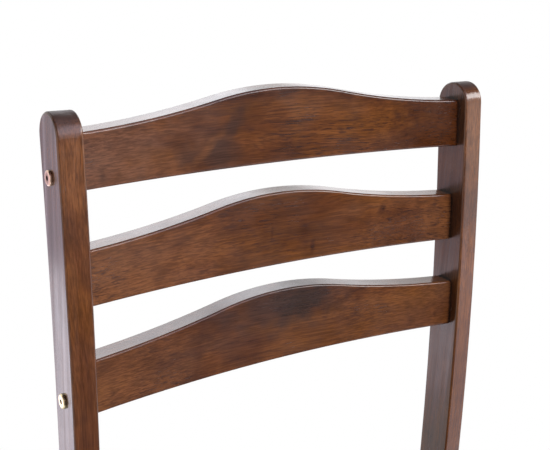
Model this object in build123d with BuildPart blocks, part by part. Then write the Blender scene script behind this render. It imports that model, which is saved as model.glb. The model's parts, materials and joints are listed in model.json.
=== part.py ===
from build123d import *
import math
import os

# A ladder-back dining chair in dark stained wood, bolted together from two side frames.
# Millimetres, +Z up. The sitter faces -Y, and the origin is on the floor under the middle
# of the chair. Left and right are as seen from in front of it, so left is -X.

# Overall size
chair_height = 900.0
back_width = 445.0  # across the outer faces of the back posts
frame_depth = 380.0  # front face of the front legs to front face of the posts at the seat
seat_height = 450.0

# Back posts: rear leg and upright sawn from one plank, plumb at the seat
post_width = 22.0
post_depth = 40.0
post_curve_radius = 3790.0  # backward curve of the front edge, above the seat
post_curve_start = 8.0  # height of the curve's start above the seat's underside
post_edge_radius = 2.0
knee_drop = 30.0  # the splayed leg starts this far below the aprons
knee_radius = 400.0
foot_sweep = 38.0  # how far back the front edge of the foot stands
foot_depth = 30.0

# Back slats: bowed back in plan, leaning with the posts, with level lower and humped upper edges
slat_thickness = 20.0
slat_bow = 15.7
slat_end_height = 48.0
top_slat_trim = 1.9  # the top slat is this much lower than the other two
slat_crown_rise = 21.4  # the hump's top above the slat's ends
slat_shoulder_reach = 67.0  # half length of the hump's crown arc
slat_shoulder_drop = 6.8  # fall of the crown arc over that length
slat_edge_radius = 2.0
top_slat_drop = 62.5  # lower edges, below the top of the posts
middle_slat_drop = 161.2
bottom_slat_drop = 252.9
slat_setback = 10.9  # front face behind the front edge of the posts
middle_slat_setback = 16.6

# Front legs, square, tapered on their two inner faces
leg_size = 34.0
leg_foot_size = 26.0
leg_edge_radius = 3.0

# Aprons and stretchers
apron_height = 55.0
apron_thickness = 16.0
stretcher_height = 32.0
stretcher_thickness = 16.0
stretcher_level = 150.0  # underside of the stretchers above the floor
rail_edge_radius = 2.0

# Seat panel
seat_thickness = 18.0
seat_side_overhang = 6.0
seat_front_overhang = 14.0  # at the middle of the bowed front edge
seat_front_bow = 8.0
seat_corner_radius = 30.0
seat_rear_reach = 30.0  # how far the tongue between the posts runs past their front faces
seat_post_clearance = 0.3
seat_top_radius = 6.0
seat_lower_radius = 2.5
seat_dish_depth = 5.0
seat_dish_width = 340.0

# Corner blocks under the seat
block_reach = 62.0  # along each apron
block_end = 30.0  # length of each glued end face
block_thickness = 22.0

# Bolts with flat round heads, and their barrel nuts
bolt_diameter = 6.0
bolt_head_diameter = 13.0
bolt_head_height = 2.5
bolt_head_rim_radius = 1.3
bolt_socket_size = 4.0  # across the flats
bolt_socket_depth = 2.2
bolt_tip_length = 3.0  # past the barrel nut
bolt_clearance = 0.5
nut_diameter = 10.0
nut_length = 11.0
nut_setback = 16.0  # from the end of the rail to the nut's axis
nut_slot_width = 1.6
nut_slot_depth = 1.2
nut_clearance = 0.2
top_slat_bolt_rise = 12.0  # above the slat's lower edge
bottom_slat_bolt_rise = 14.5
cross_bolt_drop = 8.0  # stretcher bolt below the middle of the stretcher

# Dowels
dowel_diameter = 8.0
dowel_length = 24.0  # half in each piece
dowel_chamfer = 0.8
dowel_clearance = 0.1
dowel_end_gap = 0.4
slat_dowel_pitch = 22.0  # from a bolt, or another dowel, up to the next dowel
middle_slat_dowel_rise = 13.0
apron_dowel_pitch = 28.0
stretcher_dowel_pitch = 16.0

# Screws of the corner blocks and the seat
screw_diameter = 4.0
screw_head_diameter = 8.0
screw_head_height = 2.6
screw_slot_width = 1.2
screw_slot_depth = 1.0
screw_clearance = 0.3
block_screw_wood = 8.0  # wood of the block left under a side screw's head
block_screw_bite = 11.0  # length in the apron
seat_screw_bite = 10.0  # length in the seat

# Foot glides and their nails
glide_diameter = 19.0
glide_height = 4.0
glide_edge = 1.0
nail_diameter = 2.4
nail_head_diameter = 6.0
nail_head_height = 1.0
nail_recess = 1.2  # depth of the nail's head above the floor
nail_bite = 12.0
nail_clearance = 0.1

# Levels
leg_bottom = glide_height
seat_underside = seat_height - seat_thickness
apron_bottom = seat_underside - apron_height
apron_middle = seat_underside - apron_height / 2
knee_level = apron_bottom - knee_drop
curve_level = seat_underside + post_curve_start
stretcher_top = stretcher_level + stretcher_height
stretcher_middle = stretcher_level + stretcher_height / 2

# Places across the chair, as distances from the middle plane
outer_x = back_width / 2
post_inner_x = outer_x - post_width
leg_inner_x = outer_x - leg_size
apron_x = outer_x - post_width / 2  # middle of the side aprons and side stretchers
apron_inner_x = apron_x - apron_thickness / 2
stretcher_inner_x = apron_x - stretcher_thickness / 2

sides = {"left": -1, "right": 1}
across = {"left": (-1, 0, 0), "right": (1, 0, 0)}


def post_setback(level):
    """How far the posts' front edge lies behind its place at the seat, at a height."""
    if level > curve_level:
        rise = level - curve_level
        return post_curve_radius - math.sqrt(post_curve_radius**2 - rise**2)
    if level > knee_level:
        return 0.0
    return foot_sweep * (knee_level - level) / (knee_level - leg_bottom)


def slat_rake(drop, height):
    """Lean of a slat, which follows the posts' curve at the middle of its height."""
    middle_level = chair_height - drop + height / 2
    return math.asin((middle_level - curve_level) / post_curve_radius)


# Reach behind the posts' front faces at the seat: the posts' tops, the feet and the top slat
cap_radius = post_depth / 2
cap_centre_radius = post_curve_radius - cap_radius
cap_angle = math.asin((chair_height - cap_radius - curve_level) / cap_centre_radius)
cap_reach = post_curve_radius - cap_centre_radius * math.cos(cap_angle) + cap_radius
foot_reach = foot_sweep + foot_depth
top_slat_end_height = slat_end_height - top_slat_trim
top_slat_crown = top_slat_end_height + slat_crown_rise
top_slat_rake = slat_rake(top_slat_drop, top_slat_end_height)
top_slat_corner = (
    post_setback(chair_height - top_slat_drop)
    + slat_setback
    + (slat_bow + slat_thickness) / math.cos(top_slat_rake)
    + top_slat_crown * math.tan(top_slat_rake)
)
top_slat_round = (1 + math.sin(top_slat_rake)) / math.cos(top_slat_rake) - 1
top_slat_reach = top_slat_corner - slat_edge_radius * top_slat_round
rear_reach = max(cap_reach, foot_reach, top_slat_reach)

# Places from front to back, with the whole depth centred on the origin
overall_depth = seat_front_overhang + frame_depth + rear_reach
front_y = seat_front_overhang - overall_depth / 2
leg_back_y = front_y + leg_size
front_apron_y = front_y + leg_size / 2
post_y = front_y + frame_depth
rear_apron_y = post_y + post_depth / 2


def post_front(level):
    """Y of the posts' front edge at a height."""
    return post_y + post_setback(level)


def leg_back(level):
    """Y of the front legs' tapered back face at a height below the aprons."""
    taper = (apron_bottom - level) / (apron_bottom - leg_bottom)
    return leg_back_y - (leg_size - leg_foot_size) * taper


cross_stretcher_y = (leg_back(stretcher_middle) + post_front(stretcher_middle)) / 2


def slat_plane(drop, setback, height):
    """Plane of a slat: origin at the middle of its lower front edge, Y back, Z up the slat."""
    lower_edge = chair_height - drop
    rake = slat_rake(drop, height)
    return Plane(
        origin=(0, post_front(lower_edge) + setback, lower_edge),
        x_dir=(1, 0, 0),
        z_dir=(0, math.sin(rake), math.cos(rake)),
    )


slat_end_heights = {
    "top_slat": top_slat_end_height,
    "middle_slat": slat_end_height,
    "bottom_slat": slat_end_height,
}
slat_planes = {
    "top_slat": slat_plane(top_slat_drop, slat_setback, top_slat_end_height),
    "middle_slat": slat_plane(middle_slat_drop, middle_slat_setback, slat_end_height),
    "bottom_slat": slat_plane(bottom_slat_drop, slat_setback, slat_end_height),
}
slat_bolt_rises = {
    "top_slat": [top_slat_bolt_rise],
    "middle_slat": [],
    "bottom_slat": [bottom_slat_bolt_rise],
}
slat_dowel_rises = {
    "top_slat": [top_slat_bolt_rise + slat_dowel_pitch],
    "middle_slat": [middle_slat_dowel_rise, middle_slat_dowel_rise + slat_dowel_pitch],
    "bottom_slat": [bottom_slat_bolt_rise + slat_dowel_pitch],
}
slat_bore_depth = slat_thickness / 2


def slat_joint_planes(slat, side, rises):
    """Planes of a slat's fixings where its end meets the post."""
    planes = []
    for rise in rises:
        local_point = (sides[side] * post_inner_x, slat_bore_depth, rise)
        point = slat_planes[slat].from_local_coords(local_point)
        planes.append(Plane(origin=point, x_dir=(0, 0, 1), z_dir=across[side]))
    return planes


def cross_joint_planes(side, distance, y, levels):
    """Planes of fixings at the end of a rail that runs across the chair."""
    planes = []
    for level in levels:
        point = (sides[side] * distance, y, level)
        planes.append(Plane(origin=point, x_dir=(0, 0, 1), z_dir=across[side]))
    return planes


def long_joint_planes(side, y_at, levels):
    """Planes of dowels at the end of a rail that runs from front to back."""
    planes = []
    for level in levels:
        point = (sides[side] * apron_x, y_at(level), level)
        planes.append(Plane(origin=point, x_dir=(1, 0, 0), z_dir=(0, 1, 0)))
    return planes


def pair_about(middle, pitch):
    """Two levels, half a pitch below and above a middle level."""
    return [middle - pitch / 2, middle + pitch / 2]


apron_dowel_levels = pair_about(apron_middle, apron_dowel_pitch)
stretcher_dowel_levels = pair_about(stretcher_middle, stretcher_dowel_pitch)
cross_bolt_levels = [stretcher_middle - cross_bolt_drop]
cross_dowel_levels = [stretcher_middle + cross_bolt_drop]

slat_bolts = {}
slat_dowels = {}
post_bolts = {}
post_dowels = {}
leg_bolts = {}
leg_dowels = {}
cross_bolts = {}
cross_dowels = {}
apron_front_dowels = {}
apron_rear_dowels = {}
stretcher_front_dowels = {}
stretcher_rear_dowels = {}
for side in sides:
    slat_bolts[side] = []
    slat_dowels[side] = []
    for slat in slat_planes:
        slat_bolts[side] += slat_joint_planes(slat, side, slat_bolt_rises[slat])
        slat_dowels[side] += slat_joint_planes(slat, side, slat_dowel_rises[slat])
    post_bolts[side] = cross_joint_planes(side, post_inner_x, rear_apron_y, [apron_middle])
    post_dowels[side] = cross_joint_planes(side, post_inner_x, rear_apron_y, apron_dowel_levels)
    leg_bolts[side] = cross_joint_planes(side, leg_inner_x, front_apron_y, [apron_middle])
    leg_dowels[side] = cross_joint_planes(side, leg_inner_x, front_apron_y, apron_dowel_levels)
    cross_bolts[side] = cross_joint_planes(
        side, stretcher_inner_x, cross_stretcher_y, cross_bolt_levels
    )
    cross_dowels[side] = cross_joint_planes(
        side, stretcher_inner_x, cross_stretcher_y, cross_dowel_levels
    )
    apron_front_dowels[side] = long_joint_planes(side, lambda level: leg_back_y, apron_dowel_levels)
    apron_rear_dowels[side] = long_joint_planes(side, post_front, apron_dowel_levels)
    stretcher_front_dowels[side] = long_joint_planes(side, leg_back, stretcher_dowel_levels)
    stretcher_rear_dowels[side] = long_joint_planes(side, post_front, stretcher_dowel_levels)

dowel_bore_radius = (dowel_diameter + dowel_clearance) / 2
dowel_bore_depth = dowel_length / 2 + dowel_end_gap
bolt_bore_radius = (bolt_diameter + bolt_clearance) / 2
bolt_reach = nut_setback + nut_diameter / 2 + bolt_tip_length  # past the joint
bolt_bore_depth = bolt_reach + bolt_tip_length
nut_bore_radius = (nut_diameter + nut_clearance) / 2


def nut_planes(bolt_planes, slot_direction):
    """Planes at the middle of the barrel nuts, Z towards the open end of their bores."""
    planes = []
    for bolt in bolt_planes:
        point = bolt.origin - bolt.z_dir * nut_setback
        planes.append(Plane(origin=point, x_dir=bolt.z_dir, z_dir=slot_direction))
    return planes


def nut_bore_planes(planes, open_depth):
    """The same planes moved out past the open face, to bore from."""
    return [plane.offset(open_depth) for plane in planes]


slat_nuts = []
for slat, plane in slat_planes.items():
    for side in sides:
        bolts = slat_joint_planes(slat, side, slat_bolt_rises[slat])
        slat_nuts += nut_planes(bolts, plane.y_dir)
front_apron_nuts = nut_planes(leg_bolts["left"] + leg_bolts["right"], (0, 1, 0))
rear_apron_nuts = nut_planes(post_bolts["left"] + post_bolts["right"], (0, -1, 0))
cross_nuts = nut_planes(cross_bolts["left"] + cross_bolts["right"], (0, 1, 0))

# Corner blocks: each inner corner of the aprons, and the direction in which its block lies
front_apron_inner_y = front_apron_y + apron_thickness / 2
rear_apron_inner_y = rear_apron_y - apron_thickness / 2
ends = {"front": (front_apron_inner_y, 1), "rear": (rear_apron_inner_y, -1)}
block_level = seat_underside - block_thickness
block_middle_level = seat_underside - block_thickness / 2
block_screw_place = block_reach - block_end / 2  # along each apron, from the inner corner
block_centre = block_screw_place / 2
block_screw_length = block_screw_wood + block_screw_bite

side_screws = {}
end_screws = {}
seat_screws = {}
for end, (corner_y, toward) in ends.items():
    for side, sign in sides.items():
        corner_x = sign * apron_inner_x
        place_x = corner_x - sign * block_screw_place
        place_y = corner_y + toward * block_screw_place
        head_x = corner_x - sign * block_screw_wood
        head_y = corner_y + toward * block_screw_wood
        side_screws[end, side] = Plane(
            origin=(head_x, place_y, block_middle_level), x_dir=(0, 0, 1), z_dir=(-sign, 0, 0)
        )
        end_screws[end, side] = Plane(
            origin=(place_x, head_y, block_middle_level), x_dir=(0, 0, 1), z_dir=(0, toward, 0)
        )
        seat_screws[end, side] = Plane(
            origin=(corner_x - sign * block_centre, corner_y + toward * block_centre, block_level),
            x_dir=(1, 0, 0),
            z_dir=(0, 0, -1),
        )
screw_bore_radius = screw_diameter / 2
screw_clear_radius = (screw_diameter + screw_clearance) / 2
screw_head_bore_radius = (screw_head_diameter + screw_clearance) / 2

# Feet: the middle of each leg's sole
post_foot_y = post_front(leg_bottom) + foot_depth / 2
leg_foot_y = front_y + leg_foot_size / 2
foot_points = {}
for side, sign in sides.items():
    foot_points["front", side] = (sign * (outer_x - leg_foot_size / 2), leg_foot_y, leg_bottom)
    foot_points["rear", side] = (sign * apron_x, post_foot_y, leg_bottom)
nail_bore_radius = (nail_diameter + nail_clearance) / 2

os.makedirs("parts", exist_ok=True)


def save(part, label):
    """Name a finished piece and write it."""
    part.label = label
    export_step(part, f"parts/{label}.step")


# Back posts, with a half-round cap across the top of the curve
cap_across = math.cos(cap_angle)
cap_along = math.sin(cap_angle)
cap_y = post_y + post_curve_radius - cap_centre_radius * cap_across
cap_z = curve_level + cap_centre_radius * cap_along
cap_front = (cap_y - cap_radius * cap_across, cap_z + cap_radius * cap_along)
cap_tip = (cap_y + cap_radius * cap_along, cap_z + cap_radius * cap_across)
cap_back = (cap_y + cap_radius * cap_across, cap_z - cap_radius * cap_along)
curve_front = (post_y, curve_level)
curve_back = (post_y + post_depth, curve_level)
knee_front = (post_y, knee_level)
knee_back = (post_y + post_depth, knee_level)
toe = (post_y + foot_sweep, leg_bottom)
heel = (post_y + foot_reach, leg_bottom)
for side, sign in sides.items():
    inner_face = Plane(origin=(sign * post_inner_x, 0, 0), x_dir=(0, 1, 0), z_dir=(1, 0, 0))
    with BuildPart() as post:
        with BuildSketch(inner_face):
            with BuildLine():
                Polyline(curve_back, knee_back, heel, toe, knee_front, curve_front)
                TangentArc(curve_front, cap_front, tangent=(0, 1))
                ThreePointArc(cap_front, cap_tip, cap_back)
                TangentArc(curve_back, cap_back, tangent=(0, 1))
            outline = make_face()
            knees = outline.vertices().filter_by(lambda v: math.isclose(v.Y, knee_level))
            fillet(knees, radius=knee_radius)
        extrude(amount=sign * post_width)
        outline_edges = post.faces().filter_by(Axis.X).edges()
        sole_edges = post.faces().sort_by(Axis.Z)[0].edges()
        fillet(outline_edges - sole_edges, radius=post_edge_radius)
        with Locations(*slat_bolts[side], *post_bolts[side]):
            Hole(bolt_bore_radius, post_width + bolt_head_height)
        with Locations(*slat_dowels[side], *post_dowels[side]):
            Hole(dowel_bore_radius, dowel_bore_depth)
        with Locations(*apron_rear_dowels[side], *stretcher_rear_dowels[side]):
            Hole(dowel_bore_radius, dowel_bore_depth)
        with Locations(foot_points["rear", side]):
            Hole(nail_diameter / 2, nail_bite)
    save(post.part, f"{side}_back_post")

# Back slats
for slat, plane in slat_planes.items():
    end_height = slat_end_heights[slat]
    crown_height = end_height + slat_crown_rise
    front_radius = (post_inner_x**2 + slat_bow**2) / (2 * slat_bow)
    back_radius = front_radius + slat_thickness
    back_end_y = slat_bow - front_radius + math.sqrt(back_radius**2 - post_inner_x**2)
    elevation = Plane(origin=plane.origin, x_dir=(1, 0, 0), z_dir=(0, -1, 0))
    slat_reach = crown_height + slat_bow + slat_thickness  # past the cut, along and behind the slat
    with BuildPart() as slat_part:
        with BuildSketch(plane):
            with BuildLine():
                front_left = (-post_inner_x, 0)
                front_right = (post_inner_x, 0)
                back_left = (-post_inner_x, back_end_y)
                back_right = (post_inner_x, back_end_y)
                ThreePointArc(front_left, (0, slat_bow), front_right)
                Line(front_right, back_right)
                ThreePointArc(back_right, (0, slat_bow + slat_thickness), back_left)
                Line(back_left, front_left)
            make_face()
        extrude(amount=slat_reach)
        with BuildSketch(elevation):
            with BuildLine():
                shoulder_height = crown_height - slat_shoulder_drop
                left_shoulder = (-slat_shoulder_reach, shoulder_height)
                right_shoulder = (slat_shoulder_reach, shoulder_height)
                left_tip = (-post_inner_x, end_height)
                right_tip = (post_inner_x, end_height)
                crown = ThreePointArc(left_shoulder, (0, crown_height), right_shoulder)
                TangentArc(right_shoulder, right_tip, tangent=crown % 1)
                TangentArc(left_shoulder, left_tip, tangent=-(crown % 0))
                Polyline(right_tip, (post_inner_x, 0), (-post_inner_x, 0), left_tip)
            make_face()
        extrude(amount=-slat_reach, mode=Mode.INTERSECT)
        broad_faces = slat_part.faces().sort_by(SortBy.AREA)[-2:]
        end_edges = slat_part.faces().filter_by(Axis.X).edges()
        fillet(broad_faces.edges() - end_edges, radius=slat_edge_radius)
        for side in sides:
            bolts = slat_joint_planes(slat, side, slat_bolt_rises[slat])
            if bolts:
                nuts = nut_planes(bolts, plane.y_dir)
                with Locations(*bolts):
                    Hole(bolt_bore_radius, bolt_bore_depth)
                with Locations(*nut_bore_planes(nuts, slat_thickness)):
                    Hole(nut_bore_radius, slat_thickness + nut_length / 2)
            with Locations(*slat_joint_planes(slat, side, slat_dowel_rises[slat])):
                Hole(dowel_bore_radius, dowel_bore_depth)
    save(slat_part.part, slat)

# Front legs
for side, sign in sides.items():
    leg_middle = (sign * (outer_x - leg_size / 2), front_y + leg_size / 2, apron_bottom)
    with BuildPart() as leg:
        with BuildSketch(Plane(origin=leg_middle)):
            RectangleRounded(leg_size, leg_size, leg_edge_radius)
        extrude(amount=apron_height)
        with BuildSketch(Plane(origin=leg_middle)):
            RectangleRounded(leg_size, leg_size, leg_edge_radius)
        with BuildSketch(Plane(origin=foot_points["front", side])):
            RectangleRounded(leg_foot_size, leg_foot_size, leg_edge_radius)
        loft(ruled=True)
        with Locations(*leg_bolts[side]):
            Hole(bolt_bore_radius, leg_size + bolt_head_height)
        with Locations(*leg_dowels[side], *apron_front_dowels[side], *stretcher_front_dowels[side]):
            Hole(dowel_bore_radius, dowel_bore_depth)
        with Locations(foot_points["front", side]):
            Hole(nail_diameter / 2, nail_bite)
    save(leg.part, f"{side}_front_leg")

# Side aprons
for side, sign in sides.items():
    middle_plane = Plane(origin=(sign * apron_x, 0, 0), x_dir=(0, 1, 0), z_dir=(1, 0, 0))
    with BuildPart() as apron:
        with BuildSketch(middle_plane):
            with BuildLine():
                Polyline(
                    (leg_back_y, apron_bottom),
                    (post_y, apron_bottom),
                    (post_y, seat_underside),
                    (leg_back_y, seat_underside),
                    close=True,
                )
            make_face()
        extrude(amount=apron_thickness / 2, both=True)
        lower_edges = apron.edges().filter_by(Axis.Y).group_by(Axis.Z)[0]
        fillet(lower_edges, radius=rail_edge_radius)
        with Locations(*apron_front_dowels[side], *apron_rear_dowels[side]):
            Hole(dowel_bore_radius, dowel_bore_depth)
        with Locations(side_screws["front", side], side_screws["rear", side]):
            Hole(screw_bore_radius, block_screw_length)
    save(apron.part, f"{side}_side_apron")

# Front and rear aprons
cross_aprons = {
    "front": (front_apron_y, leg_inner_x, leg_bolts, leg_dowels, front_apron_nuts),
    "rear": (rear_apron_y, post_inner_x, post_bolts, post_dowels, rear_apron_nuts),
}
for end, (middle_y, half_length, bolts, dowels, nuts) in cross_aprons.items():
    middle_plane = Plane(origin=(0, middle_y, 0), x_dir=(1, 0, 0), z_dir=(0, -1, 0))
    with BuildPart() as apron:
        with BuildSketch(middle_plane):
            with BuildLine():
                Polyline(
                    (-half_length, apron_bottom),
                    (half_length, apron_bottom),
                    (half_length, seat_underside),
                    (-half_length, seat_underside),
                    close=True,
                )
            make_face()
        extrude(amount=apron_thickness / 2, both=True)
        lower_edges = apron.edges().filter_by(Axis.X).group_by(Axis.Z)[0]
        fillet(lower_edges, radius=rail_edge_radius)
        with Locations(*bolts["left"], *bolts["right"]):
            Hole(bolt_bore_radius, bolt_bore_depth)
        with Locations(*nut_bore_planes(nuts, apron_thickness)):
            Hole(nut_bore_radius, apron_thickness + nut_length / 2)
        with Locations(*dowels["left"], *dowels["right"]):
            Hole(dowel_bore_radius, dowel_bore_depth)
        with Locations(end_screws[end, "left"], end_screws[end, "right"]):
            Hole(screw_bore_radius, block_screw_length)
    save(apron.part, f"{end}_apron")

# Side stretchers, scribed to the tapered leg and the splayed post
for side, sign in sides.items():
    middle_plane = Plane(origin=(sign * apron_x, 0, 0), x_dir=(0, 1, 0), z_dir=(1, 0, 0))
    with BuildPart() as stretcher:
        with BuildSketch(middle_plane):
            with BuildLine():
                Polyline(
                    (leg_back(stretcher_level), stretcher_level),
                    (post_front(stretcher_level), stretcher_level),
                    (post_front(stretcher_top), stretcher_top),
                    (leg_back(stretcher_top), stretcher_top),
                    close=True,
                )
            make_face()
        extrude(amount=stretcher_thickness / 2, both=True)
        fillet(stretcher.edges().filter_by(Axis.Y), radius=rail_edge_radius)
        with Locations(*stretcher_front_dowels[side], *stretcher_rear_dowels[side]):
            Hole(dowel_bore_radius, dowel_bore_depth)
        with Locations(*cross_bolts[side]):
            Hole(bolt_bore_radius, stretcher_thickness + bolt_head_height)
        with Locations(*cross_dowels[side]):
            Hole(dowel_bore_radius, dowel_bore_depth)
    save(stretcher.part, f"{side}_side_stretcher")

# Cross stretcher
cross_plane = Plane(origin=(0, cross_stretcher_y, 0), x_dir=(1, 0, 0), z_dir=(0, -1, 0))
with BuildPart() as cross_stretcher:
    with BuildSketch(cross_plane):
        with BuildLine():
            Polyline(
                (-stretcher_inner_x, stretcher_level),
                (stretcher_inner_x, stretcher_level),
                (stretcher_inner_x, stretcher_top),
                (-stretcher_inner_x, stretcher_top),
                close=True,
            )
        make_face()
    extrude(amount=stretcher_thickness / 2, both=True)
    fillet(cross_stretcher.edges().filter_by(Axis.X), radius=rail_edge_radius)
    with Locations(*cross_bolts["left"], *cross_bolts["right"]):
        Hole(bolt_bore_radius, bolt_bore_depth)
    with Locations(*nut_bore_planes(cross_nuts, stretcher_thickness)):
        Hole(nut_bore_radius, stretcher_thickness + nut_length / 2)
    with Locations(*cross_dowels["left"], *cross_dowels["right"]):
        Hole(dowel_bore_radius, dowel_bore_depth)
save(cross_stretcher.part, "cross_stretcher")

# Seat panel
seat_half = outer_x + seat_side_overhang
tongue_half = post_inner_x - seat_post_clearance
notch_y = post_y - seat_post_clearance
seat_front_y = front_y - seat_front_overhang
seat_corner_y = seat_front_y + seat_front_bow
seat_rear_y = post_y + seat_rear_reach
dish_radius = (seat_dish_width**2 / 4 + seat_dish_depth**2) / (2 * seat_dish_depth)
dish_y = (seat_front_y + post_y) / 2


def ahead_of_notches(edge):
    """Whether an edge of the seat lies on its front or sides, not in the notches or the tongue."""
    return edge.center().Y < notch_y - seat_top_radius


with BuildPart() as seat:
    with BuildSketch(Plane.XY.offset(seat_underside)):
        with BuildLine():
            front_left = (-seat_half, seat_corner_y)
            front_right = (seat_half, seat_corner_y)
            ThreePointArc(front_left, (0, seat_front_y), front_right)
            Polyline(
                front_right,
                (seat_half, notch_y),
                (tongue_half, notch_y),
                (tongue_half, seat_rear_y),
                (-tongue_half, seat_rear_y),
                (-tongue_half, notch_y),
                (-seat_half, notch_y),
                front_left,
            )
        outline = make_face()
        fillet(outline.vertices().group_by(Axis.Y)[0], radius=seat_corner_radius)
    extrude(amount=seat_thickness)
    top_rim = seat.faces().sort_by(Axis.Z)[-1].edges()
    fillet(top_rim.filter_by(ahead_of_notches), radius=seat_top_radius)
    lower_rim = seat.faces().sort_by(Axis.Z)[0].edges()
    fillet(lower_rim.filter_by(ahead_of_notches), radius=seat_lower_radius)
    with Locations((0, dish_y, seat_height - seat_dish_depth + dish_radius)):
        Sphere(dish_radius, mode=Mode.SUBTRACT)
    with Locations(*seat_screws.values()):
        Hole(screw_bore_radius, block_thickness + seat_screw_bite)
save(seat.part, "seat_panel")

# Corner blocks
for end, (corner_y, toward) in ends.items():
    for side, sign in sides.items():
        corner_x = sign * apron_inner_x
        near = block_reach - block_end
        with BuildPart() as block:
            with BuildSketch(Plane.XY.offset(block_level)):
                with BuildLine():
                    Polyline(
                        (corner_x, corner_y + toward * block_reach),
                        (corner_x, corner_y + toward * near),
                        (corner_x - sign * near, corner_y),
                        (corner_x - sign * block_reach, corner_y),
                        close=True,
                    )
                make_face()
            extrude(amount=block_thickness)
            with Locations(side_screws[end, side], end_screws[end, side]):
                Hole(screw_clear_radius, block_screw_length)
            head_planes = [
                plane.offset(block_reach) for plane in (side_screws[end, side], end_screws[end, side])
            ]
            with Locations(*head_planes):
                Hole(screw_head_bore_radius, block_reach)
            with Locations(seat_screws[end, side]):
                Hole(screw_clear_radius, block_thickness + screw_head_height)
        save(block.part, f"{end}_{side}_corner_block")

# Foot glides
for (end, side), point in foot_points.items():
    with BuildPart() as glide:
        with BuildSketch(Plane(origin=point)):
            Circle(glide_diameter / 2)
        extrude(amount=-glide_height)
        chamfer(glide.edges().sort_by(Axis.Z)[0], length=glide_edge)
        with Locations(point):
            Hole(nail_bore_radius, glide_height)
        with Locations((point[0], point[1], 0)):
            Hole((nail_head_diameter + nail_clearance) / 2, nail_recess + nail_head_height)
    save(glide.part, f"{end}_{side}_glide")


def make_bolt(grip):
    """A bolt along Z, its head's seat at the origin, for a piece of the given thickness."""
    with BuildPart() as bolt:
        with BuildSketch(Plane.XY):
            Circle(bolt_head_diameter / 2)
        extrude(amount=bolt_head_height)
        fillet(bolt.edges().sort_by(Axis.Z)[-1], radius=bolt_head_rim_radius)
        with BuildSketch(Plane.XY):
            Circle(bolt_diameter / 2)
        extrude(amount=-(grip + bolt_reach))
        with BuildSketch(Plane.XY.offset(bolt_head_height)):
            RegularPolygon(bolt_socket_size / 2, side_count=6, major_radius=False)
        extrude(amount=-bolt_socket_depth, mode=Mode.SUBTRACT)
    return bolt.part


# Bolts
bolt_groups = {
    "slat_bolts": (slat_bolts, post_width),
    "rear_apron_bolts": (post_bolts, post_width),
    "front_apron_bolts": (leg_bolts, leg_size),
    "stretcher_bolts": (cross_bolts, stretcher_thickness),
}
for label, (planes, grip) in bolt_groups.items():
    bolt = make_bolt(grip)
    with BuildPart() as bolts:
        with Locations(*[plane.offset(grip) for plane in planes["left"] + planes["right"]]):
            add(bolt)
    save(bolts.part, label)

# Barrel nuts
with BuildPart() as nut:
    with BuildSketch(Plane.XY):
        Circle(nut_diameter / 2)
    extrude(amount=nut_length / 2, both=True)
    with BuildSketch(Plane.YZ):
        Circle(bolt_bore_radius)
    extrude(amount=nut_diameter, both=True, mode=Mode.SUBTRACT)
    with BuildSketch(Plane.XY.offset(nut_length / 2)):
        Rectangle(nut_diameter, nut_slot_width)
    extrude(amount=-nut_slot_depth, mode=Mode.SUBTRACT)
nut_groups = {
    "slat_barrel_nuts": slat_nuts,
    "apron_barrel_nuts": front_apron_nuts + rear_apron_nuts,
    "stretcher_barrel_nuts": cross_nuts,
}
for label, planes in nut_groups.items():
    with BuildPart() as nuts:
        with Locations(*planes):
            add(nut.part)
    save(nuts.part, label)

# Dowels
with BuildPart() as dowel:
    with BuildSketch(Plane.XY):
        Circle(dowel_diameter / 2)
    extrude(amount=dowel_length / 2, both=True)
    chamfer(dowel.edges().filter_by(GeomType.CIRCLE), length=dowel_chamfer)
dowel_groups = {
    "slat_dowels": [slat_dowels],
    "cross_apron_dowels": [leg_dowels, post_dowels],
    "side_apron_dowels": [apron_front_dowels, apron_rear_dowels],
    "stretcher_dowels": [stretcher_front_dowels, stretcher_rear_dowels, cross_dowels],
}
for label, joints in dowel_groups.items():
    with BuildPart() as dowels:
        for joint in joints:
            with Locations(*joint["left"], *joint["right"]):
                add(dowel.part)
    save(dowels.part, label)


def make_screw(length):
    """A slotted screw along Z, its head's seat at the origin."""
    with BuildPart() as screw:
        with BuildSketch(Plane.XY):
            Circle(screw_head_diameter / 2)
        extrude(amount=screw_head_height)
        fillet(screw.edges().sort_by(Axis.Z)[-1], radius=screw_head_height / 2)
        with BuildSketch(Plane.XY):
            Circle(screw_diameter / 2)
        extrude(amount=-length)
        with BuildSketch(Plane.XY.offset(screw_head_height)):
            Rectangle(screw_head_diameter, screw_slot_width)
        extrude(amount=-screw_slot_depth, mode=Mode.SUBTRACT)
    return screw.part


# Screws
screw_groups = {
    "block_screws": ([*side_screws.values(), *end_screws.values()], block_screw_length),
    "seat_screws": ([*seat_screws.values()], block_thickness + seat_screw_bite),
}
for label, (planes, length) in screw_groups.items():
    screw = make_screw(length)
    with BuildPart() as screws:
        with Locations(*planes):
            add(screw)
    save(screws.part, label)

# Glide nails
with BuildPart() as nail:
    with BuildSketch(Plane.XY.offset(nail_recess)):
        Circle(nail_head_diameter / 2)
    extrude(amount=nail_head_height)
    with BuildSketch(Plane.XY.offset(nail_recess)):
        Circle(nail_diameter / 2)
    extrude(amount=leg_bottom + nail_bite - nail_recess)
with BuildPart() as nails:
    with Locations(*[(point[0], point[1], 0) for point in foot_points.values()]):
        add(nail.part)
save(nails.part, "glide_nails")
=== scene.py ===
import json
import math

import bpy
from mathutils import Matrix, Vector

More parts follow.
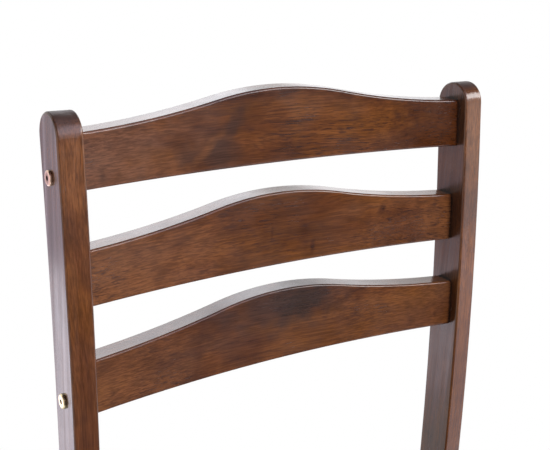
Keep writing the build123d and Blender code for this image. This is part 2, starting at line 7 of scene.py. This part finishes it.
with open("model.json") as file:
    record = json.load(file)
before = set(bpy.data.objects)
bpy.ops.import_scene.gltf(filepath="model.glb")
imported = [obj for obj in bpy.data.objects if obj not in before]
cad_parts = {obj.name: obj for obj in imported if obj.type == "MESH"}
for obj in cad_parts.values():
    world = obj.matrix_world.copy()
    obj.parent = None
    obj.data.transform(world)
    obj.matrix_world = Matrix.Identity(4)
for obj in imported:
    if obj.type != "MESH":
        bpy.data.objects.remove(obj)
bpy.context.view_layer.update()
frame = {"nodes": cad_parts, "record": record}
nodes = frame["nodes"]

# Camera: its place in metres, its angles in radians, its focal length and sensor in millimetres
camera_place = (-0.46617, -0.47775, 1.04663)
camera_yaw = 0.59103
camera_pitch = 0.31498
camera_roll = 0.04596
camera_lens = 61.134
camera_sensor = 36.0

# Colours of stained wood, and last the painted contact shadow where pieces meet
wood_deep = (0.023, 0.0070, 0.0042, 1)
wood_dark = (0.053, 0.0165, 0.0072, 1)
wood_mid = (0.106, 0.0340, 0.0102, 1)
wood_pale = (0.190, 0.0715, 0.0240, 1)
wood_warm = (0.170, 0.0580, 0.0090, 1)
wood_umber = (0.058, 0.0140, 0.0010, 1)
wood_grey = (0.052, 0.0240, 0.0160, 1)
wood_slate = (0.030, 0.0165, 0.0115, 1)
wood_ash = (0.135, 0.0570, 0.0310, 1)
wood_pore = (0.026, 0.0078, 0.0048, 1)
wood_end = (0.030, 0.0105, 0.0065, 1)
painted_contact_shadow = (0.008, 0.0030, 0.0020, 1)

# Noise in stained wood: its scale along the grain and across it, its detail and its roughness.
# The first layers sway with the grain, and the others lie straight.
swaying_layers = {
    "figure": (3.0, 62.0, 3.0, 0.55),
    "streaks": (15.0, 760.0, 2.0, 0.60),
    "mottle": (22.0, 34.0, 3.0, 0.60),
    "bands": (42.0, 9.0, 2.0, 0.50),
    "dashes": (55.0, 820.0, 1.0, 0.50),
    "specks": (110.0, 1900.0, 0.0, 0.50),
    "warmth": (7.0, 24.0, 2.0, 0.50),
}
straight_layers = {
    "patches": (5.0, 12.0, 1.0, 0.50),
    "open_grain": (7.0, 18.0, 1.0, 0.50),
    "greyness": (9.0, 16.0, 2.0, 0.50),
    "sheen": (22.0, 40.0, 3.0, 0.50),
}
sway_noise = (5.0, 11.0, 1.0, 0.50)
sway_depth = 0.016
brush_noise = (2.0, 95.0, 1.5, 0.50)

# How pale the wood is: the weight of each layer and of the staves, and the colours it runs through
shade_middle = 0.5
shade_weights = {"figure": 0.62, "mottle": 0.42, "patches": 0.28, "bands": 0.30}
stave_weight = 0.16
shade_stops = [(0.05, wood_deep), (0.34, wood_dark), (0.55, wood_mid), (0.86, wood_pale)]

# How far from a point its edges, seams and inner corners count, in metres: for the painted dark line
# along wood edges, the painted contact shadow at seams, painted shade in inner corners and metal
# recesses, and the worn metal edges
edge_reach = 0.0028
contact_shadow_reach = 0.005
slat_shade_reach = 0.006
frame_shade_reach = 0.032
metal_edge_reach = 0.0012
metal_recess_reach = 0.004
# How many rays look for them
occlusion_samples = 6

# Lacquer: its least roughness on the frame and on the seat, and its refraction
frame_smooth = 0.17
seat_smooth = 0.28
lacquer_ior = 1.6
# How dark the pores are on most pieces
usual_pore = 0.70
# How wide the seat's staves are, in metres
seat_stave = 0.076

# Soft marks: the noise that frays them, and where they fade, in their own half sizes
mark_noise_scale = 70.0
mark_noise_detail = 3.0
mark_fray = (1.2, 1.2, 1.2)
mark_fade = (0.25, 1.25)

# Where most of a noise's values lie
noise_range = (0.3, 0.7)
# Axes of a piece, with the one along the grain first
grain_orders = {"X": (0, 1, 2), "Y": (1, 2, 0), "Z": (2, 0, 1)}
grain_axes = {"X": (1, 0, 0), "Y": (0, 1, 0), "Z": (0, 0, 1)}
# How far apart the wood of pieces with neighbouring seeds lies
seed_step = (1.37, 0.71, 0.53)


class Graph:
    """A node tree with short calls that add and join its nodes."""

    def __init__(self, owner):
        owner.use_nodes = True
        self.tree = owner.node_tree
        self.tree.nodes.clear()

    def feed(self, socket, value):
        """Join an output to a socket, or set the socket's own value."""
        if isinstance(value, bpy.types.NodeSocket):
            self.tree.links.new(value, socket)
        else:
            socket.default_value = value

    def add(self, kind, inputs, **settings):
        """Add a node, with its inputs by name or number."""
        made = self.tree.nodes.new(kind)
        for key, value in settings.items():
            setattr(made, key, value)
        for key, value in inputs.items():
            self.feed(made.inputs[key], value)
        return made

    def place(self):
        """Coordinates in the object's own frame, in metres."""
        return self.add("ShaderNodeTexCoord", {}).outputs["Object"]

    def third(self, vector):
        """The third part of a vector."""
        return self.add("ShaderNodeSeparateXYZ", {0: vector}).outputs[2]

    def math(self, operation, first, second=0.0):
        """The result of a sum on one or two values."""
        return self.add("ShaderNodeMath", {0: first, 1: second}, operation=operation).outputs[0]

    def noise(self, vector, scale, detail, roughness=0.5):
        """Smooth noise around 0.5."""
        inputs = {"Vector": vector, "Scale": scale, "Detail": detail, "Roughness": roughness}
        return self.add("ShaderNodeTexNoise", inputs).outputs[0]

    def streaky(self, vector, along_grain, across_grain, detail, roughness=0.5):
        """Noise with one scale along X and another across it."""
        stretched = self.scaled(vector, (along_grain, across_grain, across_grain))
        return self.noise(stretched, 1.0, detail, roughness)

    def swing(self, value, weight):
        """How far a noise is from its middle, times a weight."""
        return self.math("MULTIPLY", self.math("SUBTRACT", value, 0.5), weight)

    def stretch(self, value, low, high, to_low=0.0, to_high=1.0):
        """A value carried smoothly from one range to another and held at its ends."""
        inputs = {
            "Value": value,
            "From Min": low,
            "From Max": high,
            "To Min": to_low,
            "To Max": to_high,
        }
        return self.add("ShaderNodeMapRange", inputs, interpolation_type="SMOOTHSTEP").outputs[0]

    def scaled(self, vector, factors):
        """A vector times three factors."""
        made = self.add("ShaderNodeVectorMath", {0: vector, 1: factors}, operation="MULTIPLY")
        return made.outputs[0]

    def shifted(self, vector, offset):
        """A vector plus another."""
        return self.add("ShaderNodeVectorMath", {0: vector, 1: offset}, operation="ADD").outputs[0]

    def length(self, vector):
        """How long a vector is."""
        return self.add("ShaderNodeVectorMath", {0: vector}, operation="LENGTH").outputs["Value"]

    def dot(self, first, second):
        """How far two vectors point the same way."""
        inputs = {0: first, 1: second}
        return self.add("ShaderNodeVectorMath", inputs, operation="DOT_PRODUCT").outputs["Value"]

    def mix(self, factor, first, second, blend="MIX"):
        """Two colours mixed, by the node's own numbers for its colour sockets."""
        inputs = {0: factor, 6: first, 7: second}
        made = self.add("ShaderNodeMix", inputs, data_type="RGBA", blend_type=blend)
        return made.outputs[2]

    def tinted(self, colour, tint, value, low, high, strength=1.0):
        """A colour that goes over to a tint as a value rises from low to high."""
        return self.mix(self.stretch(value, low, high, 0.0, strength), colour, tint)

    def ramp(self, value, stops):
        """Colours along a value."""
        made = self.add("ShaderNodeValToRGB", {0: value})
        elements = made.color_ramp.elements
        elements[0].position, elements[0].color = stops[0]
        elements[1].position, elements[1].color = stops[-1]
        for position, colour in stops[1:-1]:
            elements.new(position).color = colour
        return made.outputs[0]

    def crevices(self, distance, **settings):
        """How far a point is closed in by what stands round it, from 0 to 1."""
        inputs = {"Distance": distance}
        made = self.add(
            "ShaderNodeAmbientOcclusion", inputs, samples=occlusion_samples, **settings
        )
        return self.math("SUBTRACT", 1.0, made.outputs["AO"])

    def edges(self, distance):
        """How near a point is to an outer edge of its own piece, from 0 to 1."""
        return self.crevices(distance, inside=True, only_local=True)

    def seen(self):
        """1 for rays from the camera and for mirrored and transmitted rays, or else 0."""
        rays = self.add("ShaderNodeLightPath", {}).outputs
        direct = self.math("MAXIMUM", rays["Is Camera Ray"], rays["Is Glossy Ray"])
        return self.math("MAXIMUM", direct, rays["Is Transmission Ray"])

    def bump(self, height, distance, strength, under=None):
        """A normal roughened by a height, on top of another bump where there is one."""
        inputs = {"Height": height, "Distance": distance, "Strength": strength}
        if under:
            inputs["Normal"] = under
        return self.add("ShaderNodeBump", inputs).outputs[0]

    def finish(self, inputs):
        """Close the tree with a surface shader."""
        shader = self.add("ShaderNodeBsdfPrincipled", inputs)
        self.add("ShaderNodeOutputMaterial", {"Surface": shader.outputs[0]})


def along(graph, grain, seed):
    """Object coordinates with X along the grain, moved to a piece of wood of their own."""
    parts = graph.add("ShaderNodeSeparateXYZ", {0: graph.place()})
    turned = graph.add(
        "ShaderNodeCombineXYZ",
        {i: parts.outputs[axis] for i, axis in enumerate(grain_orders[grain])},
    )
    return graph.shifted(turned.outputs[0], [seed * step for step in seed_step])


def marked(graph, colour, marks):
    """A colour with soft patches: each has a centre, half sizes, a tilt, a colour and a strength."""
    place = graph.place()
    inputs = {"Vector": place, "Scale": mark_noise_scale, "Detail": mark_noise_detail}
    fray = graph.add("ShaderNodeTexNoise", inputs).outputs["Color"]
    fray = graph.scaled(graph.shifted(fray, (-0.5, -0.5, -0.5)), mark_fray)
    for centre, radii, tilt, tint, strength in marks:
        turn = {"Vector": place, "Location": centre, "Rotation": (0, tilt, 0), "Scale": radii}
        local = graph.add("ShaderNodeMapping", turn, vector_type="TEXTURE").outputs[0]
        distance = graph.length(graph.shifted(local, fray))
        near = graph.stretch(distance, *mark_fade, strength, 0.0)
        colour = graph.mix(near, colour, tint)
    return colour


def staved(graph, place, width):
    """Coordinates cut into glued staves along the grain, and a value for each stave."""
    row = graph.math("FLOOR", graph.math("DIVIDE", graph.third(place), width))
    value = graph.add("ShaderNodeTexWhiteNoise", {"W": row}, noise_dimensions="1D").outputs["Value"]
    jump = graph.add("ShaderNodeCombineXYZ", {0: graph.math("MULTIPLY", value, 3.0), 1: value})
    return graph.shifted(place, jump.outputs[0]), value


def wood_layers(graph, place):
    """The noise layers of stained wood, by name."""
    sway = graph.swing(graph.streaky(place, *sway_noise), sway_depth)
    sideways = graph.add("ShaderNodeCombineXYZ", {1: sway, 2: sway}).outputs[0]
    swayed = graph.shifted(place, sideways)
    layers = {name: graph.streaky(swayed, *noise) for name, noise in swaying_layers.items()}
    for name, noise in straight_layers.items():
        layers[name] = graph.streaky(place, *noise)
    return layers


def wood_pores(graph, layers):
    """Dashes and specks, denser where the grain is open, from 0 to 1."""
    dashes = graph.stretch(layers["dashes"], 0.55, 0.68)
    specks = graph.stretch(layers["specks"], 0.56, 0.74, 0.0, 0.8)
    density = graph.stretch(layers["open_grain"], 0.38, 0.62, 0.35, 1.0)
    return graph.math("MULTIPLY", graph.math("MAXIMUM", dashes, specks), density)


def end_faces(graph, grain):
    """How squarely a face cuts across the grain, from 0 to 1."""
    facing = graph.add("ShaderNodeNewGeometry", {}).outputs["Normal"]
    return graph.stretch(graph.math("ABSOLUTE", graph.dot(facing, grain_axes[grain])), 0.60, 0.95)


def stained_wood(name, grain, seed, tone, marks, painted_corner_reach, stave, smooth, pore, ripple):
    """Dark stained hardwood under satin lacquer, with the grain along one axis."""
    material = bpy.data.materials.new(name)
    graph = Graph(material)
    place = along(graph, grain, seed)
    shade = shade_middle + tone
    if stave:
        place, stave_tone = staved(graph, place, stave)
        shade = graph.math("ADD", graph.swing(stave_tone, stave_weight), shade)
    layers = wood_layers(graph, place)
    pores = wood_pores(graph, layers)
    ends = end_faces(graph, grain)

    for layer, weight in shade_weights.items():
        shade = graph.math("ADD", graph.swing(layers[layer], weight), shade)
    colour = graph.ramp(shade, shade_stops)
    colour = graph.tinted(colour, wood_warm, layers["warmth"], 0.46, 0.70, 0.60)
    colour = graph.tinted(colour, wood_grey, layers["greyness"], 0.52, 0.74, 0.55)
    colour = marked(graph, colour, marks)
    fine = graph.stretch(layers["streaks"], *noise_range, 0.72, 1.28)
    fine = graph.add("ShaderNodeCombineXYZ", {0: fine, 1: fine, 2: fine}).outputs[0]
    colour = graph.mix(1.0, colour, fine, "MULTIPLY")
    colour = graph.mix(graph.math("MULTIPLY", pores, pore), colour, wood_pore)
    colour = graph.mix(graph.math("MULTIPLY", ends, 0.85), colour, wood_end)
    # Painted dark line along the outer edges, in place of the dark reflection in their rounded
    # arrises
    colour = graph.tinted(colour, wood_deep, graph.edges(edge_reach), 0.30, 0.85, 0.55)
    # Painted shade in the inner corners, darker where a point is closed in
    colour = graph.tinted(colour, wood_deep, graph.crevices(painted_corner_reach), 0.10, 0.50, 0.85)
    # Painted contact shadow where pieces meet
    colour = graph.tinted(colour, painted_contact_shadow, graph.crevices(contact_shadow_reach), 0.20, 0.55, 0.90)

    rough = graph.stretch(layers["sheen"], *noise_range, smooth, smooth + 0.08)
    rough = graph.math("ADD", rough, graph.math("MULTIPLY", pores, 0.05))
    rough = graph.math("ADD", rough, graph.math("MULTIPLY", ends, 0.30))
    height = graph.math("SUBTRACT", graph.math("MULTIPLY", layers["streaks"], 0.4), pores)
    brushed = None
    if ripple:
        brushed = graph.bump(graph.streaky(place, *brush_noise), ripple, 1.0)
    graph.finish(
        {
            "Base Color": colour,
            "Roughness": rough,
            "Normal": graph.bump(height, 0.0002, 0.012, brushed),
            "IOR": lacquer_ior,
        }
    )
    return material


def bare_wood(name, grain, seed, pale, dark):
    """Sawn wood without a finish."""
    material = bpy.data.materials.new(name)
    graph = Graph(material)
    place = along(graph, grain, seed)
    figure = graph.streaky(place, 6.0, 110.0, 3.0)
    fibres = graph.streaky(place, 40.0, 900.0, 2.0)
    saw_marks = graph.streaky(place, 900.0, 60.0, 1.0)
    colour = graph.tinted(pale, dark, figure, *noise_range)
    colour = graph.tinted(colour, dark, fibres, 0.5, 0.8, 0.5)
    height = graph.math("ADD", fibres, graph.math("MULTIPLY", saw_marks, 0.7))
    graph.finish(
        {
            "Base Color": colour,
            "Roughness": graph.stretch(fibres, *noise_range, 0.6, 0.8),
            "Normal": graph.bump(height, 0.0003, 0.5),
        }
    )
    return material


def plated_metal(name, pale, dark, worn, smooth, upper=None, marks=()):
    """Plated metal, brighter along its edges, with painted shade in its recesses, tinted higher up
    or not.
    """
    material = bpy.data.materials.new(name)
    graph = Graph(material)
    place = graph.place()
    clouds = graph.noise(place, 160.0, 3.0)
    grains = graph.noise(place, 1400.0, 2.0)
    colour = graph.tinted(pale, dark, clouds, *noise_range)
    if upper:
        colour = graph.tinted(colour, upper, graph.third(place), 0.72, 0.80, 0.9)
    colour = graph.tinted(colour, worn, graph.edges(metal_edge_reach), 0.35, 0.8, 0.6)
    # Soft marks where given: on the bolts, a painted dark reflection round the sockets
    colour = marked(graph, colour, marks)
    # Painted shade in the recesses, such as the bolts' hex sockets
    recesses = graph.crevices(metal_recess_reach)
    colour = graph.tinted(colour, painted_recess_shade, recesses, 0.35, 0.85, 0.92)
    graph.finish(
        {
            "Base Color": colour,
            "Metallic": 1.0,
            "Roughness": graph.stretch(clouds, *noise_range, smooth, smooth + 0.14),
            "Normal": graph.bump(grains, 0.00005, 0.25),
        }
    )
    return material


def moulded_plastic(name, dark, pale, worn):
    """Black moulded plastic, scuffed pale where it slides on the floor."""
    material = bpy.data.materials.new(name)
    graph = Graph(material)
    place = graph.place()
    grains = graph.noise(place, 1800.0, 2.0)
    scuffs = graph.streaky(place, 900.0, 160.0, 2.0)
    low = graph.stretch(graph.third(place), 0.0002, 0.0014, 1.0, 0.0)
    rubbed = graph.math("MULTIPLY", low, graph.stretch(scuffs, 0.45, 0.7))
    colour = graph.tinted(dark, pale, grains, *noise_range)
    colour = graph.mix(graph.math("MULTIPLY", rubbed, 0.6), colour, worn)
    graph.finish(
        {
            "Base Color": colour,
            "Roughness": graph.stretch(grains, *noise_range, 0.42, 0.6),
            "Normal": graph.bump(grains, 0.0001, 0.3),
        }
    )
    return material


def wear(node, material):
    """Give a node of the frame its material."""
    slots = nodes[node].data.materials
    slots.clear()
    slots.append(material)


# Each stained piece: the way its grain runs, and how much paler or darker it is
stained_pieces = {
    "top_slat": ("X", -0.055),
    "middle_slat": ("X", 0.015),
    "bottom_slat": ("X", -0.03),
    "left_back_post": ("Z", -0.03),
    "right_back_post": ("Z", 0.04),
    "left_front_leg": ("Z", 0.0),
    "right_front_leg": ("Z", 0.02),
    "left_side_apron": ("Y", 0.0),
    "right_side_apron": ("Y", -0.02),
    "front_apron": ("X", 0.02),
    "rear_apron": ("X", 0.0),
    "left_side_stretcher": ("Y", 0.03),
    "right_side_stretcher": ("Y", 0.0),
    "cross_stretcher": ("X", 0.0),
    "seat_panel": ("Y", 0.02),
}

# Figure, knots and stains on the back's pieces, and painted light at the slats' left ends, in metres
# and radians
piece_marks = {
    "left_back_post": [
        ((-0.2125, 0.185, 0.865), (0.03, 0.03, 0.04), 0.0, wood_pale, 0.70),
        ((-0.2175, 0.185, 0.895), (0.03, 0.03, 0.014), 0.0, wood_grey, 0.75),
    ],
    "right_back_post": [((0.2175, 0.185, 0.850), (0.03, 0.03, 0.05), 0.0, wood_pale, 0.60)],
    "top_slat": [
        # Paler left end: partly wood tone, partly painted light falling brighter there
        ((-0.205, 0.19, 0.862), (0.120, 0.06, 0.060), 0.0, wood_ash, 0.75),
        ((-0.067, 0.207, 0.852), (0.026, 0.04, 0.015), 0.0, wood_grey, 0.85),
        ((-0.052, 0.208, 0.876), (0.026, 0.04, 0.008), -0.90, wood_grey, 0.85),
        ((-0.101, 0.205, 0.853), (0.014, 0.04, 0.014), 0.0, wood_grey, 0.65),
        ((-0.117, 0.205, 0.865), (0.026, 0.04, 0.005), 0.52, wood_dark, 0.40),
        ((-0.080, 0.207, 0.857), (0.024, 0.04, 0.005), -0.70, wood_pale, 0.32),
        ((-0.045, 0.210, 0.892), (0.045, 0.04, 0.012), 0.0, wood_dark, 0.35),
        ((0.030, 0.208, 0.888), (0.060, 0.04, 0.012), 0.0, wood_pale, 0.45),
        ((0.017, 0.210, 0.878), (0.008, 0.04, 0.030), 0.1, wood_warm, 0.25),
        ((0.097, 0.206, 0.868), (0.075, 0.04, 0.022), 0.0, wood_warm, 0.45),
        ((0.190, 0.19, 0.846), (0.072, 0.05, 0.050), 0.0, wood_umber, 0.95),
    ],
    "middle_slat": [
        # Paler left end: partly wood tone, partly painted light falling brighter there
        ((-0.190, 0.19, 0.758), (0.120, 0.06, 0.045), 0.0, wood_pale, 0.70),
        ((0.005, 0.205, 0.766), (0.060, 0.04, 0.020), 0.0, wood_warm, 0.35),
        ((-0.025, 0.205, 0.791), (0.055, 0.04, 0.016), 0.0, wood_mid, 0.65),
        ((0.015, 0.205, 0.778), (0.060, 0.04, 0.032), 0.0, wood_umber, 0.45),
        ((0.030, 0.204, 0.760), (0.060, 0.04, 0.022), 0.0, wood_umber, 0.35),
        ((0.185, 0.19, 0.762), (0.035, 0.05, 0.040), 0.0, wood_pale, 0.45),
        ((0.027, 0.205, 0.768), (0.008, 0.04, 0.022), 0.1, wood_dark, 0.45),
        ((-0.010, 0.205, 0.769), (0.0018, 0.03, 0.009), 0.1, wood_pore, 0.35),
        ((0.0364, 0.204, 0.7525), (0.0035, 0.03, 0.008), 0.15, wood_pore, 0.60),
        ((0.1169, 0.202, 0.7778), (0.0045, 0.03, 0.006), 0.3, wood_pore, 0.60),
    ],
    "bottom_slat": [
        # Paler left end: partly wood tone, partly painted light falling brighter there
        ((-0.180, 0.18, 0.670), (0.110, 0.06, 0.040), 0.0, wood_pale, 0.45),
        ((0.000, 0.196, 0.702), (0.085, 0.04, 0.030), 0.05, wood_grey, 0.90),
        ((0.018, 0.196, 0.702), (0.032, 0.04, 0.024), 0.0, wood_slate, 0.85),
        ((-0.127, 0.188, 0.672), (0.016, 0.03, 0.006), 0.0, wood_dark, 0.50),
        ((0.130, 0.188, 0.672), (0.070, 0.04, 0.022), 0.0, wood_warm, 0.35),
    ],
}
# How deep the brush marks in the posts' lacquer are, in metres
post_ripples = {"left_back_post": 0.0012, "right_back_post": 0.0005}
# How dark the pores are, where that isn't as on the other pieces
piece_pores = {"top_slat": 0.82, "left_back_post": 0.45, "right_back_post": 0.45}

for seed, (node, (grain, tone)) in enumerate(stained_pieces.items(), 1):
    marks = piece_marks.get(node, ())
    painted_corner_reach = slat_shade_reach if node.endswith("_slat") else frame_shade_reach
    stave, smooth = (seat_stave, seat_smooth) if node == "seat_panel" else (0.0, frame_smooth)
    pore = piece_pores.get(node, usual_pore)
    ripple = post_ripples.get(node, 0.0)
    finish = (tone, marks, painted_corner_reach, stave, smooth, pore, ripple)
    wear(node, stained_wood(f"stained_{node}", grain, seed, *finish))

# The other pieces: corner blocks and dowels of bare wood, plated fixings and plastic glides
block_seed = 21
dowel_seed = 22
block_pale = (0.50, 0.33, 0.18, 1)
block_dark = (0.34, 0.20, 0.10, 1)
dowel_pale = (0.62, 0.43, 0.25, 1)
dowel_dark = (0.48, 0.31, 0.17, 1)
bolt_pale = (0.88, 0.78, 0.52, 1)
bolt_dark = (0.72, 0.58, 0.34, 1)
bolt_worn = (0.97, 0.90, 0.76, 1)
bolt_rose = (0.80, 0.54, 0.43, 1)
bolt_smooth = 0.16
painted_dark_reflection = (0.16, 0.075, 0.04, 1)
painted_recess_shade = (0.012, 0.008, 0.006, 1)
zinc_pale = (0.62, 0.62, 0.60, 1)
zinc_dark = (0.50, 0.50, 0.49, 1)
zinc_worn = (0.78, 0.78, 0.76, 1)
zinc_smooth = 0.30
plastic_dark = (0.022, 0.019, 0.017, 1)
plastic_pale = (0.034, 0.03, 0.027, 1)
plastic_worn = (0.16, 0.15, 0.14, 1)
# Painted dark reflection in the middle of the top slat's bolt heads, round their sockets
bolt_painted_reflections = [
    ((x, 0.2026, 0.8483), (0.004, 0.0048, 0.0054), 0.0, painted_dark_reflection, 0.90) for x in (-0.225, 0.225)
]
bolt_finish = (bolt_pale, bolt_dark, bolt_worn, bolt_smooth, bolt_rose, bolt_painted_reflections)
other_slots = {
    "block_wood": bare_wood("block_wood", "X", block_seed, block_pale, block_dark),
    "dowel_wood": bare_wood("dowel_wood", "X", dowel_seed, dowel_pale, dowel_dark),
    "bolt_brass": plated_metal("bolt_brass", *bolt_finish),
    "zinc_steel": plated_metal("zinc_steel", zinc_pale, zinc_dark, zinc_worn, zinc_smooth),
    "glide_plastic": moulded_plastic("glide_plastic", plastic_dark, plastic_pale, plastic_worn),
}
for subpart in frame["record"]["subparts"]:
    if subpart["material_slot"] in other_slots:
        wear(subpart["node"], other_slots[subpart["material_slot"]])


def flat(level, *points):
    """Corners at one height."""
    return [(x, y, level) for x, y in points]


def upright(left, right, depth, low, high):
    """Corners of a rectangle that stands across the depth."""
    return [(left, depth, low), (right, depth, low), (right, depth, high), (left, depth, high)]


def panel(name, corners, material):
    """A sheet with four corners and one material."""
    mesh = bpy.data.meshes.new(name)
    mesh.from_pydata(corners, [], [(0, 1, 2, 3)])
    mesh.materials.append(material)
    made = bpy.data.objects.new(name, mesh)
    bpy.context.collection.objects.link(made)
    return made


def white_floor(name):
    """A pale floor that shows as plain white away from the chair."""
    material = bpy.data.materials.new(name)
    graph = Graph(material)
    away = graph.stretch(graph.length(graph.place()), shadow_near, shadow_far)
    far = graph.math("MULTIPLY", away, graph.seen())
    matt = graph.add("ShaderNodeBsdfDiffuse", {"Color": floor_pale})
    white = graph.add("ShaderNodeEmission", {"Color": pure_white, "Strength": 1.0})
    surface = graph.add(
        "ShaderNodeMixShader", {0: far, 1: matt.outputs[0], 2: white.outputs[0]}
    )
    graph.add("ShaderNodeOutputMaterial", {"Surface": surface.outputs[0]})
    return material


# Floor: pale, with the chair's shadow near it, and plain white further off
pure_white = (1, 1, 1, 1)
floor_pale = (0.80, 0.80, 0.80, 1)
shadow_near = 0.45
shadow_far = 0.98
reach = 9.0
floor_corners = flat(0, (-reach, -reach), (reach, -reach), (reach, reach), (-reach, reach))
floor = panel("floor", floor_corners, white_floor("floor_white"))

# World: white where it is seen, a plain fill where it lights, stronger from behind and the right
fill_side = (0.478, 0.796, 0.372)
fill_span = 0.90
fill_low = 0.04
fill_high = 0.90
world = bpy.data.worlds.new("studio")
bpy.context.scene.world = world
sky = Graph(world)
sky_way = sky.add("ShaderNodeTexCoord", {}).outputs["Generated"]
sky_fill = sky.stretch(sky.dot(sky_way, fill_side), -fill_span, fill_span, fill_low, fill_high)
sky_strength = sky.math("MAXIMUM", sky.seen(), sky_fill)
backdrop = sky.add("ShaderNodeBackground", {"Color": pure_white, "Strength": sky_strength})
sky.add("ShaderNodeOutputWorld", {"Surface": backdrop.outputs[0]})


def softbox(name, place, target, width, height, radiance, colour):
    """A soft rectangular lamp that the camera doesn't see."""
    lamp = bpy.data.lights.new(name, "AREA")
    lamp.shape = "RECTANGLE"
    lamp.size = width
    lamp.size_y = height
    lamp.energy = radiance * math.pi * width * height
    lamp.color = colour
    box = bpy.data.objects.new(name, lamp)
    bpy.context.collection.objects.link(box)
    aim = Vector(target) - Vector(place)
    box.location = place
    box.rotation_euler = aim.to_track_quat("-Z", "Y").to_euler()
    box.visible_camera = False
    return box


def card(name, corners, colour):
    """A studio card that shows only in reflections, with the brightness of its colour."""
    paper = bpy.data.materials.new(name)
    graph = Graph(paper)
    glow = graph.add("ShaderNodeEmission", {"Color": (*colour, 1), "Strength": 1.0})
    graph.add("ShaderNodeOutputMaterial", {"Surface": glow.outputs[0]})
    sheet = panel(name, corners, paper)
    sheet.visible_camera = False
    sheet.visible_diffuse = False
    sheet.visible_shadow = False


# Lamps: their colours, then the place, target, width, height, radiance and colour of each
plain = (1, 1, 1)
cool = (0.92, 0.93, 1.0)
mauve = (0.92, 0.83, 1.0)
azure = (0.80, 0.90, 1.0)
lamp_settings = {
    "key_light": ((1.95, -1.20, 2.00), (0, 0.2, 0.75), 1.6, 0.75, 8.0, plain),
    "front_light": ((0.55, -2.9, 1.3), (0, 0.2, 0.7), 1.2, 1.2, 15.0, plain),
    "top_light": ((0.62, -1.60, 2.25), (-0.1, 0.2, 0.85), 1.3, 1.3, 1.2, mauve),
    "wide_light": ((0.62, -1.62, 2.27), (-0.1, 0.2, 0.85), 2.1, 2.1, 1.2, mauve),
    "back_light": ((1.0, 2.5, 2.08), (0, 0.2, 0.8), 2.2, 0.75, 2.7, cool),
    "horizon_light": ((0.80, 2.6, 1.52), (0, 0.2, 0.85), 0.9, 0.42, 0.8, cool),
    "rim_light": ((2.2, 2.4, 1.05), (0.15, 0.2, 0.8), 1.2, 0.5, 1.0, cool),
    "low_light": ((-0.75, 1.50, 0.03), (-0.75, 1.50, 2.0), 0.6, 1.1, 1.4, cool),
    "right_light": ((3.1, -2.3, 0.5), (0.2, 0.17, 0.75), 1.2, 1.0, 0.45, azure),
    "side_light": ((-2.55, 3.05, 0.50), (0.2, 0.2, 0.89), 0.8, 0.6, 1.0, plain),
}
lamps = {name: softbox(name, *settings) for name, settings in lamp_settings.items()}
# One lamp gives only highlights, and one only diffuse light
lamps["key_light"].visible_diffuse = False
lamps["front_light"].visible_glossy = False

# Cards: their colours, the places and heights that they share, and their corners
black = (0.03, 0.028, 0.03)
grey = (0.20, 0.19, 0.20)
lilac = (1.00, 0.86, 1.02)
rose = (1.00, 0.70, 0.76)
dusk = (0.55, 0.46, 0.54)
blush = (1.48, 1.36, 1.62)
pearl = (1.06, 1.04, 1.22)
front = -2.7
lift = 0.004
rose_lift = 0.006
ceiling = 3.2
overhead = 3.1
card_settings = {
    "front_card": (upright(1.3, 2.3, front, 0, ceiling), black),
    "front_left_card": (upright(-4, 1.3, front, 0, ceiling), grey),
    "floor_card": (flat(lift, (0.6, front), (2.3, front), (0.45, -0.45), (0.3, -0.45)), black),
    "floor_left_card": (flat(lift, (-4, front), (0.6, front), (0.3, -0.45), (-4, -0.45)), grey),
    "right_card": (flat(lift, (1.33, -1.46), (2.35, front), (3.4, -2.2), (2.19, -1.1)), blush),
    "near_card": (flat(lift, (0.5, -0.45), (1.33, -1.46), (2.19, -1.1), (1.2, -0.2)), pearl),
    "ceiling_card": (flat(ceiling, (-4, front), (4, front), (4, 2.0), (-4, 2.0)), black),
    "rear_card": (flat(lift, (-3.4, 0.9), (-0.2, 0.9), (-0.2, 4.8), (-3.4, 4.8)), lilac),
    "rose_card": (flat(rose_lift, (-0.56, 0.95), (-4.5, 6.6), (-9, 6.6), (-2.2, 0.95)), rose),
    "rose_wall": (upright(-9, -4.5, 6.6, 0, 1.6), rose),
    "overhead_card": (flat(overhead, (-0.3, -1.1), (1.4, -1.1), (1.4, 0.9), (-0.3, 0.9)), dusk),
}
for name, settings in card_settings.items():
    card(name, *settings)

# Camera
forward = Vector(
    (
        math.sin(camera_yaw) * math.cos(camera_pitch),
        math.cos(camera_yaw) * math.cos(camera_pitch),
        -math.sin(camera_pitch),
    )
)
level_right = Vector((math.cos(camera_yaw), -math.sin(camera_yaw), 0))
level_up = level_right.cross(forward)
right = level_right * math.cos(camera_roll) + level_up * math.sin(camera_roll)
up = level_up * math.cos(camera_roll) - level_right * math.sin(camera_roll)
camera_data = bpy.data.cameras.new("camera")
camera_data.sensor_width = camera_sensor
camera_data.lens = camera_lens
camera = bpy.data.objects.new("camera", camera_data)
bpy.context.collection.objects.link(camera)
turn = Matrix((right, up, -forward)).transposed()
camera.matrix_world = Matrix.Translation(camera_place) @ turn.to_4x4()
scene = bpy.context.scene
scene.camera = camera
scene.view_settings.view_transform = "Standard"
